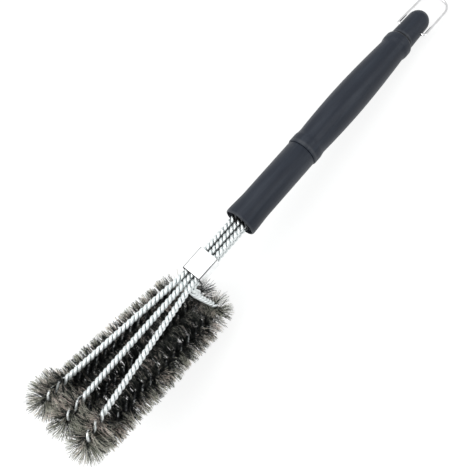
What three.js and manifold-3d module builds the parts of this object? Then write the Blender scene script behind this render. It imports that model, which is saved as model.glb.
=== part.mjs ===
// Grill cleaning brush: three looped stems, each a pair of twisted steel wires, with bristles
// held between the two wires; a clamp sleeve; a three-piece hollow handle; a hanging bail.
//
// Millimetres. Inside the "tool" group the brush lies along +X, from its bristled front to the
// end of the handle, with +Z on the side of the bare struts. The tool group is then tipped so
// that the rear bristles and the handle's end both touch the plane z = 0.

import * as THREE from 'three';
import { mergeVertices } from 'three/addons/utils/BufferGeometryUtils.js';
import Module from 'manifold-3d';

const wasm = await Module();
wasm.setup();

// ---------------------------------------------------------------- driving sizes

// Twisted wire pairs
const WIRE_D = 2.4;              // one steel wire
const WIRE_SPLIT = 0.36;         // gap between the two wires of a bare pair
const BRUSH_SPLIT = 1.1;         // gap where the bristles' core lies between them
const TWIST_PITCH = 8.3;         // one full turn of a bare pair
const BRUSH_PITCH = 17;          // one full turn where bristles are held
const TWIST_STEPS = 6;           // facets per turn on the upper, open runs
const HIDDEN_STEPS = 5;          // facets per turn on the lower bare runs
const PAIR_GAP = 0.35;           // between neighbouring pairs in the clamp
const SPLIT_RAMP = 3;            // length over which a pair opens for its bristles

// Brush head
const HEAD_LENGTH = 137;         // foremost point of the front bend to the clamp
const FRONT_SPREAD = 22.2;       // side stems from the middle stem, at the front bend
const REAR_SPREAD = 18.6;        // the same, at the rear bend
const FRONT_DEPTH = 15.5;        // lower run below the strut, at the front bend
const REAR_DEPTH = 47;           // lower run below the strut, at the rear bend
const REAR_SETBACK = 1.5;        // rear bend's corner in front of the clamp
const RISER_SETBACK = 10.5;      // riser's top corner in front of the clamp
const FRONT_BEND_R = 7.5;
const REAR_BEND_R = 6;
const SPREAD_BEND_R = 60;
const SPREAD_START = 4.2;        // fan begins this far in front of the clamp

// Bristles
const BRISTLE_R = 16.5;          // wire axis to bristle tips
const BRISTLE_W = 0.62;          // one strand's thickness at its root
const BRISTLE_TIP = 0.4;         // and at its cut end
const BRISTLE_SPACING = 2.75;    // between strand pairs, along the stem, and one facet of twist
const BRISTLE_START = 20;        // first strands behind the front bend, on the strut
const BRISTLE_STAND = 0.2;       // share of the rear bend at which the brush stands on its strands
const BRISTLE_STOP = 0.9;        // share of the rear bend at which the last strands are
const STRAND_CLEARANCE = 1.0;    // between the axes of two strands
const GROUND_CUT = 0.5;          // depth of the flat cut where the bristles stand

// Clamp
const CLAMP_LENGTH = 21;
const CLAMP_WALL = 0.8;
const CLAMP_CLEAR = 0.3;         // round the wires
const CLAMP_CORNER = 1.6;

// Handle
const NECK_LENGTH = 34.4;        // clamp to the sleeve's mouth
const SLEEVE_LENGTH = 77.5;      // mouth to the grip's seam
const SLEEVE_R = 13.05;
const MOUTH_R = 13.9;
const MOUTH_FLARE = 22;
const MOUTH_LIP_R = 12.5;        // shallow step inside the mouth
const MOUTH_LIP_DEPTH = 2.5;
const SLEEVE_WALL = 1.9;
const SPIGOT_LENGTH = 22;
const SPIGOT_WALL = 2.2;
const SPIGOT_CLEAR = 0.3;
const GRIP_LENGTH = 134.5;
const COLLAR_R = 13.85;
const COLLAR_WIDTH = 10.5;
const WAIST_R = 13.05;
const BELLY_R = 14.3;
const BELLY_AT = 59;             // from the grip's seam
const GRIP_END_R = 11.65;
const REAR_COLLAR_R = 12.6;
const REAR_COLLAR_WIDTH = 8.5;
const GRIP_WALL = 2.3;
const TAIL_LENGTH = 36;
const TAIL_R = 10.85;
const TAIL_END_R = 9.9;
const TAIL_SPIGOT_LENGTH = 14;
const TAIL_BORE_DEPTH = 8;       // hollow behind the seam
const PLUG_SETBACK = 15;         // plug behind the mouth
const PLUG_LENGTH = 20;
const WIRE_GRIP = 16;            // wires held inside the plug
const HANDLE_SEGMENTS = 24;

// Hanging bail
const BAIL_D = 2.6;
const BAIL_HOLE_D = 3.3;
const BAIL_HOLE_DEPTH = 5.4;
const BAIL_END_CLEAR = 0.4;      // wire's end to the bottom of its hole
const BAIL_PIVOT = 19;           // from the handle's end
const BAIL_LENGTH = 44;          // pivot to the middle of the arc's wire
const BAIL_SIDE_GAP = 1.7;       // between a leg and the handle
const BAIL_TAPER = 0.9;          // each leg leans in this much
const BAIL_FOOT_R = 3;

// ---------------------------------------------------------------- sizes that follow

// A pair's section is four-sided: flat inside, a narrower flat crest outside, and as wide
// round the stem as a round wire cut across at the pair's lay.
const lay = (pitch, split) => Math.atan2(Math.PI * (WIRE_D + split), pitch);
const OPEN_LAY = lay(TWIST_PITCH, WIRE_SPLIT);
const PAIR_R = WIRE_D + WIRE_SPLIT / 2;
const PAIR_D = 2 * PAIR_R;
const LAYER = PAIR_D + PAIR_GAP - WIRE_SPLIT;    // pairs side by side, and top to bottom

const X_FRONT = BRISTLE_R;
const X_CLAMP_FRONT = X_FRONT + HEAD_LENGTH;
const X_CLAMP_REAR = X_CLAMP_FRONT + CLAMP_LENGTH;
const X_MOUTH = X_CLAMP_REAR + NECK_LENGTH;
const X_SEAM = X_MOUTH + SLEEVE_LENGTH;
const X_TAIL = X_SEAM + GRIP_LENGTH;
const X_END = X_TAIL + TAIL_LENGTH;
const X_PLUG = X_MOUTH + PLUG_SETBACK;
const X_WIRE_END = X_PLUG + WIRE_GRIP;
const X_PIVOT = X_END - BAIL_PIVOT;
const Z_HANDLE = -LAYER / 2;                     // handle's axis, midway between the layers

// The bundle of six pairs, and the rectangular passage that the clamp and the plug give it.
const PASSAGE_W = 2 * LAYER + PAIR_D + 2 * CLAMP_CLEAR;
const PASSAGE_H = LAYER + PAIR_D + 2 * CLAMP_CLEAR;
const PASSAGE_CORNER = PAIR_R + CLAMP_CLEAR;     // in the plug, round the outermost pairs
const SLEEVE_BORE_R = SLEEVE_R - SLEEVE_WALL;
const PLUG_R = SLEEVE_BORE_R - SPIGOT_CLEAR;
const GRIP_BORE_R = GRIP_END_R - GRIP_WALL;
const SPIGOT_R = GRIP_BORE_R - SPIGOT_CLEAR;
const SPIGOT_BORE_R = SPIGOT_R - SPIGOT_WALL;
const TAIL_SPIGOT_R = SPIGOT_R;
const TAIL_PIVOT_R = THREE.MathUtils.mapLinear(
  TAIL_LENGTH - BAIL_PIVOT, 0, TAIL_LENGTH - TAIL_END_R, TAIL_R, TAIL_END_R);
const BAIL_HOLE_BOTTOM = TAIL_PIVOT_R - BAIL_HOLE_DEPTH;

// ---------------------------------------------------------------- materials

const steel = (color, roughness, metalness = 1) =>
  () => new THREE.MeshStandardMaterial({ color, roughness, metalness });
const wireSteel = steel(0xd9dcdd, 0.32);
const brightSteel = steel(0xe9ecee, 0.14);
const bristleSteel = steel(0x6d675d, 0.5, 0.8);
const darkPlastic = () =>
  new THREE.MeshStandardMaterial({ color: 0x33373c, roughness: 0.55, metalness: 0 });

// ---------------------------------------------------------------- centrelines

const V = (x, y, z) => new THREE.Vector3(x, y, z);

// Straight runs joined by arcs: corner i of the given points is rounded to radii[i].
class FilletedPath extends THREE.Curve {
  constructor(points, radii) {
    super();
    this.pieces = [];
    let from = points[0];
    for (let i = 1; i < points.length - 1; i++) {
      const corner = points[i];
      const back = points[i - 1].clone().sub(corner).normalize();
      const ahead = points[i + 1].clone().sub(corner).normalize();
      const half = back.angleTo(ahead) / 2;
      const reach = radii[i] / Math.tan(half);
      const start = corner.clone().addScaledVector(back, reach);
      const end = corner.clone().addScaledVector(ahead, reach);
      const inward = back.clone().add(ahead).normalize();
      const centre = corner.clone().addScaledVector(inward, radii[i] / Math.sin(half));
      this.addLine(from, start);
      this.addArc(start, end, centre, radii[i], Math.PI - 2 * half);
      from = end;
    }
    this.addLine(from, points.at(-1));
    this.total = this.pieces.reduce((sum, p) => sum + p.length, 0);
    this.marks = this.stations(2.5, 16);
  }
  addLine(from, to) {
    const length = from.distanceTo(to);
    const along = to.clone().sub(from).normalize();
    this.pieces.push({
      length, turn: 0,
      point: (d) => from.clone().addScaledVector(along, d), tangent: () => along.clone(),
    });
  }
  addArc(start, end, centre, radius, turn) {
    const u = start.clone().sub(centre).normalize();
    const e = end.clone().sub(centre).normalize();
    const w = e.addScaledVector(u, -e.dot(u)).normalize();
    const at = (a, cu, cw) => u.clone().multiplyScalar(cu(a)).addScaledVector(w, cw(a));
    this.pieces.push({
      length: radius * turn, turn,
      point: (d) => at(d / radius, Math.cos, Math.sin).multiplyScalar(radius).add(centre),
      tangent: (d) => at(d / radius, (a) => -Math.sin(a), Math.cos),
    });
  }
  locate(s, ask) {
    let left = Math.min(Math.max(s, 0), this.total);
    for (const piece of this.pieces) {
      if (left <= piece.length || piece === this.pieces.at(-1)) return piece[ask](left);
      left -= piece.length;
    }
  }
  // Lengths along the path: only the ends of straight runs, and short steps round the arcs.
  stations(maxStep, maxTurnDeg) {
    const marks = [0];
    let s = 0;
    for (const piece of this.pieces) {
      const byTurn = Math.ceil(THREE.MathUtils.radToDeg(piece.turn) / maxTurnDeg);
      const byLength = piece.turn > 0 ? Math.ceil(piece.length / (3 * maxStep)) : 1;
      const n = Math.max(1, byTurn, byLength);
      for (let i = 1; i <= n; i++) marks.push(s + (piece.length * i) / n);
      s += piece.length;
    }
    return marks;
  }
  getPointAt(u, target = new THREE.Vector3()) {
    return target.copy(this.locate(this.markAt(u), 'point'));
  }
  getTangentAt(u, target = new THREE.Vector3()) {
    return target.copy(this.locate(this.markAt(u), 'tangent'));
  }
  markAt(u) {
    const at = u * (this.marks.length - 1);
    const i = Math.min(Math.floor(at), this.marks.length - 2);
    return THREE.MathUtils.lerp(this.marks[i], this.marks[i + 1], at - i);
  }
}

// A stem's route, seen from the side: out of the handle along the top layer, through the
// clamp, forward as a strut, round the front bend, back as the lower run, round the rear bend,
// up the riser to the bottom layer, and through the clamp into the handle again.
function stemPath(side) {
  const yHandle = side * LAYER;
  const corners = [
    [V(X_WIRE_END, yHandle, 0), 0],
    [V(X_CLAMP_FRONT - SPREAD_START, yHandle, 0), SPREAD_BEND_R],
    [V(X_FRONT, side * FRONT_SPREAD, 0), FRONT_BEND_R],
    [V(X_FRONT, side * FRONT_SPREAD, -FRONT_DEPTH), FRONT_BEND_R],
    [V(X_CLAMP_FRONT - REAR_SETBACK, side * REAR_SPREAD, -REAR_DEPTH), REAR_BEND_R],
    [V(X_CLAMP_FRONT - RISER_SETBACK, yHandle, -LAYER), REAR_BEND_R],
    [V(X_WIRE_END, yHandle, -LAYER), 0],
  ].filter(([, r], i) => side !== 0 || i !== 1 || r === 0);
  return new FilletedPath(corners.map(([p]) => p), corners.map(([, r]) => r));
}

// Axes carried along a path without turning about it, on a fine grid.
class FrameTable {
  constructor(path, step = 0.25) {
    this.path = path;
    this.count = Math.ceil(path.total / step);
    this.step = path.total / this.count;
    this.rows = [];
    let normal = V(0, 0, 1);
    for (let i = 0; i <= this.count; i++) {
      const s = i * this.step;
      const tangent = path.locate(s, 'tangent');
      normal = normal.clone().addScaledVector(tangent, -normal.dot(tangent)).normalize();
      this.rows.push({ s, point: path.locate(s, 'point'), tangent, normal });
    }
  }
  at(s) {
    const row = this.rows[Math.round(THREE.MathUtils.clamp(s / this.step, 0, this.count))];
    const point = this.path.locate(s, 'point');
    const tangent = this.path.locate(s, 'tangent');
    const normal = row.normal.clone().addScaledVector(tangent, -row.normal.dot(tangent));
    normal.normalize();
    return { point, tangent, normal, across: tangent.clone().cross(normal) };
  }
  first(test) {
    return this.rows.find(test).s;
  }
  last(test) {
    return this.rows.findLast(test).s;
  }
}

// ---------------------------------------------------------------- closed swept solids

// Rings of equal size joined side by side, the quads of side j split along their rising or
// their falling diagonals, and capped at both ends.
function sweep(rings, rises) {
  const n = rings[0].length;
  const positions = rings.flat().flatMap((p) => [p.x, p.y, p.z]);
  const index = [];
  for (let i = 0; i + 1 < rings.length; i++) {
    for (let j = 0; j < n; j++) {
      const a = i * n + j, b = i * n + ((j + 1) % n);
      const c = a + n, d = b + n;
      index.push(...(rises[j] ? [a, b, d, a, d, c] : [a, b, c, b, d, c]));
    }
  }
  const last = (rings.length - 1) * n;
  for (let j = 1; j + 1 < n; j++) {
    index.push(0, j + 1, j, last, last + j, last + j + 1);
  }
  return solidFrom(positions, index);
}

function solidFrom(positions, index) {
  const geometry = new THREE.BufferGeometry();
  geometry.setAttribute('position', new THREE.Float32BufferAttribute(positions, 3));
  geometry.setIndex(index);
  if (signedVolume(positions, index) < 0) {
    for (let i = 0; i < index.length; i += 3) [index[i], index[i + 1]] = [index[i + 1], index[i]];
    geometry.setIndex(index);
  }
  geometry.computeVertexNormals();
  return geometry;
}

function signedVolume(positions, index) {
  const at = (i) => V(positions[3 * i], positions[3 * i + 1], positions[3 * i + 2]);
  let sum = 0;
  for (let i = 0; i < index.length; i += 3) {
    sum += at(index[i]).dot(at(index[i + 1]).cross(at(index[i + 2])));
  }
  return sum / 6;
}

// ---------------------------------------------------------------- twisted stems

function buildStem(side) {
  const path = stemPath(side);
  const frames = new FrameTable(path);
  const inHandle = (r) => r.point.x > X_PLUG;
  const inClamp = (r) => r.point.x > X_CLAMP_FRONT && r.point.x < X_CLAMP_REAR;
  const upper = (r) => r.point.z > -LAYER / 2;
  const lower = (r) => !upper(r);
  const frontBend = path.pieces.find((p) => p.turn > 1);
  const beforeFront = path.pieces.slice(0, path.pieces.indexOf(frontBend));
  const sFront = beforeFront.reduce((sum, p) => sum + p.length, 0);
  const rearBend = path.pieces.at(-4);
  const sRear = path.total - path.pieces.slice(-4).reduce((sum, p) => sum + p.length, 0);

  const leavesPlug = frames.first((r) => !inHandle(r));
  const entersClamp = frames.first(inClamp);
  const leavesClamp = frames.last((r) => inClamp(r) && upper(r));
  const brushStart = sFront - BRISTLE_START + FRONT_BEND_R;
  const brushStand = sRear + rearBend.length * BRISTLE_STAND;
  const brushEnd = sRear + rearBend.length * BRISTLE_STOP;
  const entersLower = frames.first((r) => inClamp(r) && lower(r) && r.s > brushEnd);
  const leavesLower = frames.last(inClamp);
  const entersPlug = frames.last((r) => !inHandle(r));

  // Twist is held still inside the plug and the clamp, where nothing shows.
  const zones = [
    [0, leavesPlug, 0, 1], [leavesPlug, entersClamp, TWIST_PITCH, TWIST_STEPS],
    [entersClamp, leavesClamp, 0, 1], [leavesClamp, brushStart, TWIST_PITCH, TWIST_STEPS],
    [brushStart, brushStand, BRUSH_PITCH, BRUSH_PITCH / BRISTLE_SPACING],
    [brushStand, brushEnd, BRUSH_PITCH, BRUSH_PITCH / BRISTLE_SPACING],
    [brushEnd, entersLower, TWIST_PITCH, HIDDEN_STEPS],
    [entersLower, leavesLower, 0, 1], [leavesLower, entersPlug, TWIST_PITCH, HIDDEN_STEPS],
    [entersPlug, path.total, 0, 1],
  ];
  let phase = 0;
  const stations = [{ s: 0, turns: 0 }];
  for (const [from, to, pitch, steps] of zones) {
    const turns = pitch ? (to - from) / pitch : 0;
    const n = Math.max(1, Math.round(turns * steps));
    for (let i = 1; i <= n; i++) {
      stations.push({ s: from + ((to - from) * i) / n, turns: phase + (turns * i) / n });
    }
    phase += turns;
  }
  const turnsAt = (s) => {
    const k = Math.max(1, stations.findIndex((q) => q.s >= s - 1e-9));
    const [a, b] = [stations[k - 1], stations[k]];
    return THREE.MathUtils.mapLinear(s, a.s, b.s, a.turns, b.turns);
  };
  // Where the brush stands, its strands point straight down.
  const standing = frames.at(brushStand);
  const down = V(0, 0, -1);
  const downAngle = Math.atan2(down.dot(standing.across), down.dot(standing.normal));
  const zero = downAngle - Math.PI / 2 + 2 * Math.PI * turnsAt(brushStand);
  const angleAt = (s) => zero - 2 * Math.PI * turnsAt(s);       // left-hand lay
  const split = (s) => {
    const inside = 1 + Math.min(s - brushStart, brushEnd - s) / SPLIT_RAMP;
    return THREE.MathUtils.lerp(WIRE_SPLIT, BRUSH_SPLIT, THREE.MathUtils.clamp(inside, 0, 1));
  };
  // Strands stand at the rings of the wires, so that the core between them twists alike.
  const pairs = stations.filter(({ s }) => s > brushStart + 1 && s < brushEnd + 1e-6)
    .map(({ s }) => ({ s, strands: [] }));
  return { side, path, frames, stations, angleAt, split, pairs, brushStand };
}

function wireOf(stem, half) {
  const rings = stem.stations.map(({ s }) => {
    const f = stem.frames.at(s);
    const a = stem.angleAt(s) + half * Math.PI;
    const out = f.normal.clone().multiplyScalar(Math.cos(a)).addScaledVector(f.across, Math.sin(a));
    const along = f.tangent.clone().cross(out);
    const inner = stem.split(s) / 2;
    const outer = inner + WIRE_D - WIRE_SPLIT / 2;
    const wide = (WIRE_D / 2) / Math.cos(OPEN_LAY);
    const corner = (r, w) => f.point.clone().addScaledVector(out, r).addScaledVector(along, w);
    return [
      corner(inner, -wide), corner(outer, -0.5 * wide),
      corner(outer, 0.5 * wide), corner(inner, wide),
    ];
  });
  // The twist hollows the flat side, away from the other wire, and fills out the three others.
  return sweep(rings, [true, true, true, false]);
}

// ---------------------------------------------------------------- bristles

// Closest approach of two segments.
function segmentGap(p, q, r, s) {
  const d1 = q.clone().sub(p), d2 = s.clone().sub(r), w = p.clone().sub(r);
  const a = d1.dot(d1), e = d2.dot(d2), f = d2.dot(w), c = d1.dot(w), b = d1.dot(d2);
  const den = a * e - b * b;
  let t = den > 1e-9 ? THREE.MathUtils.clamp((b * f - c * e) / den, 0, 1) : 0;
  let u = (b * t + f) / e;
  if (u < 0) { u = 0; t = THREE.MathUtils.clamp(-c / a, 0, 1); }
  if (u > 1) { u = 1; t = THREE.MathUtils.clamp((b - c) / a, 0, 1); }
  return p.clone().addScaledVector(d1, t).distanceTo(r.clone().addScaledVector(d2, u));
}

// Every strand is as long as it can be without touching another strand, another stem, its own
// stem further on, the clamp or the ground. Those that the brush stands on come first.
function growBristles(stems, heightOf) {
  const strands = [];
  const rows = Math.max(...stems.map((stem) => stem.pairs.length));
  const fromStand = stems.map(({ pairs, brushStand }) =>
    pairs.toSorted((p, q) => Math.abs(p.s - brushStand) - Math.abs(q.s - brushStand)));
  const ropes = stems.map((stem) => {
    const marks = [];
    for (let s = 0; s < stem.path.total; s += 2.5) marks.push(s);
    return marks.map((s) => ({ s, point: stem.frames.at(s).point }));
  });
  const keepOut = PAIR_R + 0.5 * BRUSH_SPLIT + BRISTLE_W;
  const blocked = (root, tip, stem, s) => {
    if (strands.some((o) => o.from.distanceTo(root) < 2 * BRISTLE_R + 4 &&
        segmentGap(root, tip, o.from, o.to) < STRAND_CLEARANCE)) return true;
    const ownReach = 2.2 * keepOut;
    for (const [k, rope] of ropes.entries()) {
      for (let j = 0; j + 1 < rope.length; j++) {
        if (stems[k] === stem && Math.abs(rope[j].s - s) < ownReach) continue;
        if (rope[j].point.distanceTo(root) > BRISTLE_R + 6) continue;
        if (segmentGap(root, tip, rope[j].point, rope[j + 1].point) < keepOut) return true;
      }
    }
    const clampFace = X_CLAMP_FRONT - BRISTLE_W;
    return tip.x > clampFace && tip.z > -LAYER - PASSAGE_H / 2 - CLAMP_WALL;
  };
  for (let row = 0; row < rows; row++) {
    for (const [k, stem] of stems.entries()) {
      const pair = fromStand[k][row];
      if (!pair) continue;
      const f = stem.frames.at(pair.s);
      const a = stem.angleAt(pair.s);
      const along = f.tangent.clone().cross(
        f.normal.clone().multiplyScalar(Math.cos(a)).addScaledVector(f.across, Math.sin(a)));
      for (const sign of [1, -1]) {
        const direction = along.clone().multiplyScalar(sign);
        const root = f.point.clone().addScaledVector(direction, BRISTLE_W / 2);
        const ragged = 1 - 0.05 * ((row * 0.618 + (sign > 0 ? 0.3 : 0)) % 1) * (row > 0 ? 1 : 0);
        let length = BRISTLE_R * ragged;
        const tipAt = (l) => root.clone().addScaledVector(direction, l);
        // A strand that would reach below the ground ends flat on it.
        const side = root.clone().addScaledVector(f.tangent, BRISTLE_TIP / 2);
        const sag = Math.abs(heightOf(side) - heightOf(root));
        const top = heightOf(root) - sag, low = heightOf(tipAt(length)) - sag;
        if (low < 0) length *= top / (top - low);
        while (length > 2.6 && blocked(root, tipAt(length), stem, pair.s)) length -= 0.25;
        strands.push({ from: root, to: tipAt(length) });
        pair.strands.push({ direction, length, sign });
      }
    }
  }
}

// A slim square core between the two wires, with the strands standing out of its two sides.
function bristlesOf(stem) {
  const h = BRISTLE_W / 2;
  const positions = [], index = [];
  const add = (p) => positions.push(p.x, p.y, p.z) / 3 - 1;
  const ringAt = (s) => {
    const f = stem.frames.at(s);
    const a = stem.angleAt(s);
    const out = f.normal.clone().multiplyScalar(Math.cos(a)).addScaledVector(f.across, Math.sin(a));
    const along = f.tangent.clone().cross(out);
    return [[h, h], [-h, h], [-h, -h], [h, -h]].map(([o, l]) =>
      add(f.point.clone().addScaledVector(out, o).addScaledVector(along, l)));
  };
  const quad = (a, b, c, d) => index.push(a, b, c, a, c, d);
  let previous = null;
  for (const pair of stem.pairs) {
    const near = ringAt(pair.s - h), far = ringAt(pair.s + h);
    if (previous) for (let j = 0; j < 4; j++) {
      quad(previous[j], previous[(j + 1) % 4], near[(j + 1) % 4], near[j]);
    } else quad(near[3], near[2], near[1], near[0]);
    quad(near[1], near[2], far[2], far[1]);
    quad(near[3], near[0], far[0], far[3]);
    // Side faces 0-1 and 2-3 carry the two strands of the pair, each a four-sided wedge.
    for (const strand of pair.strands) {
      const [p, q] = strand.sign > 0 ? [0, 1] : [2, 3];
      const f = stem.frames.at(pair.s);
      const tip = f.point.clone().addScaledVector(strand.direction, h + strand.length);
      const half = f.tangent.clone().multiplyScalar(BRISTLE_TIP / 2);
      const e = add(tip.clone().sub(half)), g = add(tip.clone().add(half));
      index.push(near[p], near[q], e, far[q], far[p], g);
      quad(near[q], far[q], g, e);
      quad(far[p], near[p], e, g);
    }
    previous = far;
  }
  quad(previous[0], previous[1], previous[2], previous[3]);
  return solidFrom(positions, index);
}

// ---------------------------------------------------------------- handle and clamp

function toManifold(geometry) {
  const bare = geometry.clone();
  bare.deleteAttribute('normal');
  bare.deleteAttribute('uv');
  const merged = mergeVertices(bare, 1e-4);
  return new wasm.Manifold(new wasm.Mesh({
    numProp: 3,
    vertProperties: new Float32Array(merged.attributes.position.array),
    triVerts: new Uint32Array(merged.index.array),
  }));
}

function fromManifold(solid) {
  const mesh = solid.getMesh();
  const geometry = new THREE.BufferGeometry();
  geometry.setAttribute('position', new THREE.Float32BufferAttribute(mesh.vertProperties, 3));
  geometry.setIndex([...mesh.triVerts]);
  return geometry;
}

// A profile of [distance along X, radius] turned about the handle's axis.
function turned(profile) {
  const points = profile.map(([x, r]) => new THREE.Vector2(r, x));
  const geometry = new THREE.LatheGeometry(points, HANDLE_SEGMENTS);
  geometry.rotateZ(-Math.PI / 2);
  return geometry;
}

const closed = (profile) => [...profile, profile[0]];

function sleeveGeometry() {
  const flare = [0.25, 0.5, 0.75, 1].map((t) => [
    MOUTH_FLARE * t,
    SLEEVE_R + (MOUTH_R - SLEEVE_R) * 0.5 * (1 + Math.cos(Math.PI * t)),
  ]);
  const end = SLEEVE_LENGTH + SPIGOT_LENGTH;
  return turned(closed([
    [0, MOUTH_LIP_R], [0, MOUTH_R - 0.7], [0.8, MOUTH_R], ...flare,
    [SLEEVE_LENGTH, SLEEVE_R], [SLEEVE_LENGTH, SPIGOT_R],
    [end - 1, SPIGOT_R], [end, SPIGOT_R - 0.8], [end, SPIGOT_BORE_R],
    [SLEEVE_LENGTH - 8, SPIGOT_BORE_R], [SLEEVE_LENGTH - 8 - (SLEEVE_BORE_R - SPIGOT_BORE_R),
      SLEEVE_BORE_R],
    [MOUTH_LIP_DEPTH, SLEEVE_BORE_R], [MOUTH_LIP_DEPTH, MOUTH_LIP_R],
  ]));
}

function gripGeometry() {
  const waistAt = COLLAR_WIDTH + 4;
  const rearAt = GRIP_LENGTH - REAR_COLLAR_WIDTH - 2.2;
  const rise = [0.33, 0.67, 1].map((t) => [
    THREE.MathUtils.lerp(waistAt, BELLY_AT, t),
    BELLY_R - (BELLY_R - WAIST_R) * (1 - t) ** 2,
  ]);
  const fall = [0.25, 0.5, 0.75, 1].map((t) => [
    THREE.MathUtils.lerp(BELLY_AT, rearAt, t), BELLY_R - (BELLY_R - GRIP_END_R) * t ** 1.7,
  ]);
  const rearStart = GRIP_LENGTH - REAR_COLLAR_WIDTH;
  return turned(closed([
    [0.15, COLLAR_R - 0.9], [1.2, COLLAR_R - 0.1], [3, COLLAR_R],
    [COLLAR_WIDTH - 2.5, COLLAR_R], [COLLAR_WIDTH, COLLAR_R - 0.45], [waistAt, WAIST_R],
    ...rise, ...fall,
    [rearStart, REAR_COLLAR_R - 0.4], [rearStart + 1.5, REAR_COLLAR_R],
    [GRIP_LENGTH - 2.5, REAR_COLLAR_R - 0.1], [GRIP_LENGTH - 0.15, REAR_COLLAR_R - 0.9],
    [GRIP_LENGTH - 0.15, GRIP_BORE_R], [0.15, GRIP_BORE_R],
  ]));
}

function tailGeometry() {
  const domeAt = TAIL_LENGTH - TAIL_END_R;
  const dome = [0, 18, 36, 54, 72].map((deg) => {
    const a = THREE.MathUtils.degToRad(deg);
    return [domeAt + TAIL_END_R * Math.sin(a), TAIL_END_R * Math.cos(a)];
  });
  const body = toManifold(turned([
    [TAIL_BORE_DEPTH, 0], [TAIL_BORE_DEPTH - 3, TAIL_SPIGOT_R - SPIGOT_WALL],
    [-TAIL_SPIGOT_LENGTH, TAIL_SPIGOT_R - SPIGOT_WALL], [-TAIL_SPIGOT_LENGTH, TAIL_SPIGOT_R],
    [0.15, TAIL_SPIGOT_R], [0.15, TAIL_R], ...dome, [TAIL_LENGTH, 0],
  ]));
  const hole = new THREE.CylinderGeometry(BAIL_HOLE_D / 2, BAIL_HOLE_D / 2, 3 * TAIL_R, 12);
  hole.translate(TAIL_LENGTH - BAIL_PIVOT, 0, 0);
  const core = new THREE.CylinderGeometry(TAIL_R, TAIL_R, 2 * BAIL_HOLE_BOTTOM, 24);
  core.translate(TAIL_LENGTH - BAIL_PIVOT, 0, 0);
  const drilled = body.subtract(toManifold(hole).subtract(toManifold(core)));
  return fromManifold(drilled);
}

function roundedRectangle(shape, w, h, r) {
  shape.moveTo(-w / 2 + r, -h / 2);
  shape.lineTo(w / 2 - r, -h / 2).absarc(w / 2 - r, -h / 2 + r, r, -Math.PI / 2, 0);
  shape.lineTo(w / 2, h / 2 - r).absarc(w / 2 - r, h / 2 - r, r, 0, Math.PI / 2);
  shape.lineTo(-w / 2 + r, h / 2).absarc(-w / 2 + r, h / 2 - r, r, Math.PI / 2, Math.PI);
  shape.lineTo(-w / 2, -h / 2 + r).absarc(-w / 2 + r, -h / 2 + r, r, Math.PI, 1.5 * Math.PI);
  return shape;
}

// Extruded along +X, with the section's width across Y and its height along Z.
function extrudedAlongX(shape, length, curveSegments) {
  const geometry = new THREE.ExtrudeGeometry(shape, {
    depth: length, bevelEnabled: false, curveSegments,
  });
  return geometry.rotateX(Math.PI / 2).rotateZ(Math.PI / 2);
}

function clampGeometry() {
  const wall = 2 * CLAMP_WALL;
  const shape = roundedRectangle(
    new THREE.Shape(), PASSAGE_W + wall, PASSAGE_H + wall, CLAMP_CORNER);
  shape.holes.push(roundedRectangle(
    new THREE.Path(), PASSAGE_W, PASSAGE_H, CLAMP_CORNER - CLAMP_WALL));
  return extrudedAlongX(shape, CLAMP_LENGTH, 3);
}

function plugGeometry() {
  const rim = Array.from({ length: HANDLE_SEGMENTS }, (_, i) => {
    const a = (i * 2 * Math.PI) / HANDLE_SEGMENTS;
    return new THREE.Vector2(PLUG_R * Math.cos(a), PLUG_R * Math.sin(a));
  });
  const shape = new THREE.Shape(rim);
  shape.holes.push(roundedRectangle(new THREE.Path(), PASSAGE_W, PASSAGE_H, PASSAGE_CORNER));
  return extrudedAlongX(shape, PLUG_LENGTH, 3);
}

function bailGeometry() {
  const legY = TAIL_PIVOT_R + BAIL_SIDE_GAP + BAIL_D / 2;
  const arcY = legY - BAIL_TAPER;
  const footY = BAIL_HOLE_BOTTOM + BAIL_END_CLEAR;
  const far = BAIL_LENGTH;
  const points = [
    V(0, footY, 0), V(0, legY, 0), V(far, arcY, 0), V(far, -arcY, 0), V(0, -legY, 0),
    V(0, -footY, 0),
  ];
  const bend = arcY - 0.4;
  const path = new FilletedPath(points, [0, BAIL_FOOT_R - 1.2, bend, bend, BAIL_FOOT_R - 1.2, 0]);
  const section = new THREE.Shape();
  const sides = 8;
  for (let i = 0; i < sides; i++) {
    const a = ((i + 0.5) * 2 * Math.PI) / sides;
    const x = (BAIL_D / 2) * Math.cos(a), y = (BAIL_D / 2) * Math.sin(a);
    if (i) section.lineTo(x, y); else section.moveTo(x, y);
  }
  return new THREE.ExtrudeGeometry(section, {
    steps: path.marks.length - 1, extrudePath: path, bevelEnabled: false,
  });
}

// ---------------------------------------------------------------- how the brush rests

const stems = [buildStem(1), buildStem(0), buildStem(-1)];

// The middle stem's lowest strand points straight down; the tool tips about Y until that
// strand, less its flat cut, and the handle's domed end stand at one height.
const rear = stems[1].frames.at(stems[1].brushStand);
const rearDown = V(0, 0, -1).addScaledVector(rear.tangent, rear.tangent.z).normalize();
const rearTip = rear.point.clone().addScaledVector(rearDown, BRISTLE_R + BRISTLE_W / 2);
const domeCentre = V(X_END - TAIL_END_R, 0, Z_HANDLE);
const heightWhenTipped = (p, tip) => -p.x * Math.sin(tip) + p.z * Math.cos(tip);
let restTilt = 0;
for (let step = 0.2; step > 1e-9; step /= 2) {
  const bristles = heightWhenTipped(rearTip, restTilt + step) + GROUND_CUT;
  const tail = heightWhenTipped(domeCentre, restTilt + step) - TAIL_END_R;
  if (tail > bristles) restTilt += step;
}
const groundZ = heightWhenTipped(domeCentre, restTilt) - TAIL_END_R;
const heightOf = (p) => heightWhenTipped(p, restTilt) - groundZ;

// The bail droops from its holes until its arc lies on the ground.
const pivot = V(X_PIVOT, 0, Z_HANDLE);
const bailDroop = Math.asin((heightOf(pivot) - BAIL_D / 2) / BAIL_LENGTH) - restTilt;

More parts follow.
